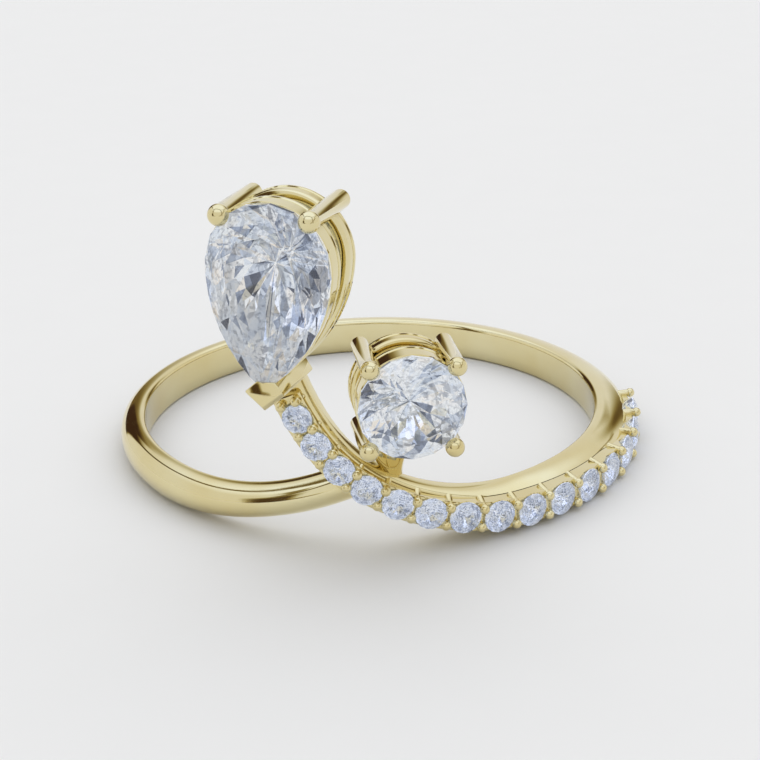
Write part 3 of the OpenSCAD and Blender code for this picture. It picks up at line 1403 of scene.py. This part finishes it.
def add_rail(
    work: Workpiece,
    outer: Outline,
    inner: Outline,
    levels: tuple[float, float, float],
    bevel: float,
    place: Matrix,
) -> None:
    """Adds a gallery rail that follows an outline, bevelled or cut as a seat at its front.

    Args:
        work: The workpiece.
        outer: The rail's outer outline.
        inner: Its inner outline, with as many points.
        levels: Heights of its front edge, its back edge and the foot of the stone's seat,
            which is the front edge's height again where the rail has no seat.
        bevel: Width of the bevel of a rail without a seat.
        place: The head's frame.
    """
    front, back, seat = levels

    def ring(outline: Outline, height: float, share: float = 1.0) -> list[Point]:
        """An outline at a height, scaled by a share."""
        return [(x * share, y * share, height) for x, y in outline]

    width = max(x for x, _ in outer)
    top = front - (RAIL_EDGE if seat < front else bevel)
    sunk, trimmed = 1 - RAIL_SUNK / width, 1 - RAIL_TRIM / width
    rings = [
        ring(outer, back + RAIL_TRIM),
        ring(outer, back + RAIL_LINE),
        ring(outer, back + RAIL_LINE + RAIL_SUNK, sunk),
        ring(outer, top - RAIL_LINE - RAIL_SUNK, sunk),
        ring(outer, top - RAIL_LINE),
        ring(outer, top),
    ]
    if seat < front:
        rings += [ring(outer, front, trimmed), ring(inner, seat)]
    else:
        rings += [
            ring(outer, front - bevel * RAIL_SOFT, 1 - RAIL_SOFT * bevel / width),
            ring(outer, front, 1 - bevel / width),
            ring(inner, front),
        ]
    rings += [ring(inner, back), ring(outer, back, trimmed)]
    work.loft(rings, place, ring=True)


# The studio


@dataclass(frozen=True)
class Gap:
    """A dark gap between two soft panels, from one direction to another.

    A direction is its azimuth, from +Y towards +X, and its height over the horizon.
    """

    start: tuple[float, float]
    end: tuple[float, float]
    half_width: float
    depth: float
    soft: float = 0.6

    def mask(self, graph: Graph, direction: Any) -> Value:
        """Works out how dark the gap is in a direction.

        Args:
            graph: The graph of the surroundings.
            direction: The socket with the direction.

        Returns:
            The darkness, from 0 to the gap's depth.
        """
        first, last = toward(*self.start), toward(*self.end)
        pole = first.cross(last).normalized()
        reach = math.degrees(first.angle(last)) / 2 + self.half_width
        across = abs(graph.dot(direction, pole))
        along = graph.dot(direction, (first + last).normalized())
        near = across.step(sin(self.half_width), sin(self.half_width * (1 - self.soft)))
        return near * along.step(cos(reach), cos(reach - self.half_width)) * self.depth


@dataclass
class Studio:
    """A pale floor, soft panels of light all round with dark gaps between, and the camera."""

    focal: float = 75.55
    position: Point = (0.406, -54.887, 23.597)
    right: Point = (0.99972, -0.00885, -0.02184)
    up: Point = (0.02356, 0.37532, 0.92660)
    back: Point = (0.0, -0.92686, 0.37542)
    floor_colour: Colour = (0.835, 0.832, 0.82)
    backdrop: Colour = (0.815, 0.815, 0.815)
    key: Colour = (1.42, 1.42, 1.42)
    fill: Colour = (0.52, 0.52, 0.52)
    shadow: Colour = (0.02, 0.02, 0.02)
    behind: tuple[float, float] = (0.0, 62.0)
    behind_span: tuple[float, float] = (0.2, 0.97)
    wall: Colour = (0.83, 0.83, 0.84)
    ceiling: Colour = (1.07, 1.16, 1.42)
    ceiling_span: tuple[float, float] = (0.55, 0.8)
    floor_size: float = 3.0
    floor_grain: float = 400.0
    floor_grey: float = 0.985
    gap_tones: tuple[tuple[float, Colour], ...] = (
        (0.0, (1.0, 1.0, 1.0)),
        (0.23, (0.77, 0.75, 0.64)),
        (0.47, (0.53, 0.48, 0.3)),
        (0.65, (0.35, 0.28, 0.12)),
        (0.8, (0.2, 0.14, 0.05)),
        (1.0, (0.04, 0.015, 0.015)),
    )
    gaps: tuple[Gap, ...] = (
        Gap((-33, -16), (-33, 23), 7.5, 0.97, 0.35),
        Gap((-33, -2), (-22, 24), 9.5, 0.97, 0.55),
        Gap((-26, -18), (-19, 21), 16.0, 0.8, 0.9),
        Gap((-36, 23), (-52, 42), 2.6, 0.95),
        Gap((-52, 42), (-95, 50), 2.4, 0.85),
        Gap((-123, 17), (-134, -14), 11.0, 0.93, 0.6),
        Gap((-134, 2), (-144, 0), 6.0, 0.72, 0.8),
        Gap((-122, -10), (-122, 30), 4.0, 0.75),
        Gap((-122, 30), (-105, 42), 3.0, 0.7),
        Gap((-36, 22), (-10, 24), 4.0, 0.45, 1.0),
        Gap((16, 24), (45, 21), 4.0, 0.45, 1.0),
        Gap((30, -12), (30, 19), 14.0, 0.85, 0.95),
        Gap((42, 20), (85, 42), 1.6, 0.6),
        Gap((88, 40), (102, 31), 4.0, 0.65),
        Gap((102, 31), (165, 0), 4.0, 0.65),
        Gap((-122, -10), (140, -13), 3.0, 0.35, 1.0),
        Gap((140, -13), (128, 58), 3.5, 0.85),
        Gap((128, 58), (-105, 62), 3.5, 0.85),
        Gap((-122, 30), (-105, 62), 3.5, 0.85),
        Gap((85, 42), (128, 58), 2.0, 0.7),
        Gap((-95, 50), (-105, 62), 2.0, 0.7),
    )

    def build(self, floor_height: float) -> None:
        """Builds the studio.

        Args:
            floor_height: Height of the floor in metres.
        """
        self.surroundings()
        self.floor(floor_height)
        self.camera()
        bpy.context.scene.view_settings.view_transform = "Standard"

    def surroundings(self) -> None:
        """Sets the soft panels of light that the ring mirrors.

        The camera itself sees a plain backdrop. The floor is lit from behind the ring, and
        the gold throws hardly any light onto it.
        """
        world = bpy.data.worlds.new("studio")
        bpy.context.scene.world = world
        world.use_nodes = True
        graph = Graph(world.node_tree)
        direction = graph.node("ShaderNodeTexCoord", {}, {}).outputs["Generated"]
        shade = self.gaps[0].mask(graph, direction)
        for gap in self.gaps[1:]:
            shade = shade.highest(gap.mask(graph, direction))
        height = graph.dot(direction, Vector((0, 0, 1)))
        panels = graph.blend(self.wall, self.ceiling, height.step(*self.ceiling_span))
        path = graph.node("ShaderNodeLightPath", {}, {})
        seen = Value(graph, path.outputs["Is Camera Ray"])
        onto_floor = Value(graph, path.outputs["Is Diffuse Ray"])
        dark = graph.node("ShaderNodeValToRGB", {"stops": self.gap_tones}, {"Fac": shade})
        mirrored = graph.blend(panels, dark.outputs["Color"], 1.0, "MULTIPLY")
        thrown = Value(graph, path.outputs["Diffuse Depth"]) * Value(
            graph, path.outputs["Is Glossy Ray"]
        )
        mirrored = graph.blend(mirrored, self.shadow, thrown.step(0.0, 1.0))
        behind = graph.dot(direction, toward(*self.behind)).step(*self.behind_span)
        soft = graph.blend(self.fill, self.key, behind)
        light = graph.blend(graph.blend(mirrored, soft, onto_floor), self.backdrop, seen)
        graph.surface("Background", {"Color": light}, "World")

    def floor(self, height: float) -> None:
        """Lays the floor.

        Args:
            height: Its height in metres.
        """
        shell = bmesh.new()
        bmesh.ops.create_grid(shell, x_segments=1, y_segments=1, size=self.floor_size)
        bmesh.ops.translate(shell, vec=(0, 0, height), verts=shell.verts[:])
        data = bpy.data.meshes.new("floor")
        shell.to_mesh(data)
        shell.free()
        floor = show("floor", data)
        material, graph = new_material("pale_floor")
        speck = graph.noise(self.floor_grain, 2.0)
        low = tuple(self.floor_grey * c for c in self.floor_colour)
        graph.surface("BsdfDiffuse", {"Color": graph.blend(low, self.floor_colour, speck)})
        data.materials.append(material)
        floor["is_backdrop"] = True

    def camera(self) -> None:
        """Sets up the camera."""
        data = bpy.data.cameras.new("camera")
        data.sensor_width = 36.0
        data.lens = self.focal
        data.clip_start, data.clip_end = 0.001, 20.0
        camera = show("camera", data)
        axes = Matrix((self.right, self.up, self.back)).transposed().to_4x4()
        camera.matrix_world = Matrix.Translation(Vector(self.position) * MM) @ axes
        bpy.context.scene.camera = camera


def main() -> None:
    """Builds the ring and the studio, and lays the floor at the lowest point of the scene's size
    taken before the ring is built.
    """
    logging.basicConfig(level=logging.INFO, format="%(name)s: %(message)s")
    before = [list(corner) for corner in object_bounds()]
    gold = PolishedGold().make()
    # Painted sparkle of the pear and round stones: tones of painted light and shade, from dark
    # slivers through blue-grey and white to a warm glint.
    painted_sparkle_tones = (
        (0.0, (0.02, 0.02, 0.04)),
        (0.1, (0.08, 0.1, 0.16)),
        (0.17, (0.38, 0.44, 0.56)),
        (0.36, (0.82, 0.88, 0.97)),
        (0.58, (0.97, 0.99, 1.0)),
        (0.84, (1.0, 1.0, 1.0)),
        (0.96, (1.0, 0.9, 0.76)),
    )
    # Painted sparkle of the small stones: tones of painted light and shade.
    small_painted_sparkle_tones = (
        (0.0, (0.12, 0.14, 0.2)),
        (0.2, (0.36, 0.41, 0.54)),
        (0.34, (0.72, 0.79, 0.93)),
        (0.55, (0.88, 0.92, 1.0)),
        (1.0, (0.97, 0.98, 1.0)),
    )
    pear = CutStone(
        name="clear_pear_stone",
        painted_sparkle_tones=painted_sparkle_tones,
        cell_size=0.6,
        cell_share=0.15,
        cloud_size=1.4,
        speck_size=0.16,
        specks=0.4,
        painted_glow=0.26,
    ).make()
    brilliant = CutStone(
        name="clear_round_stone",
        painted_sparkle_tones=painted_sparkle_tones,
        cell_size=0.6,
        cell_share=0.2,
        cloud_size=1.1,
        speck_size=0.16,
        specks=0.3,
        painted_glow=0.27,
    ).make()
    small = CutStone(
        name="clear_small_stone",
        painted_sparkle_tones=small_painted_sparkle_tones,
        cell_size=0.06,
        cell_share=0.6,
        cloud_size=0.4,
        speck_size=0.045,
        specks=0.75,
        painted_glow=0.33,
    ).make()
    band = Band()
    band.build(gold)
    SmallRow(band).build(gold, small)
    PearHead().build(gold, pear)
    RoundHead().build(gold, brilliant)
    Studio().build(before[0][2])


if __name__ == "__main__":
    main()
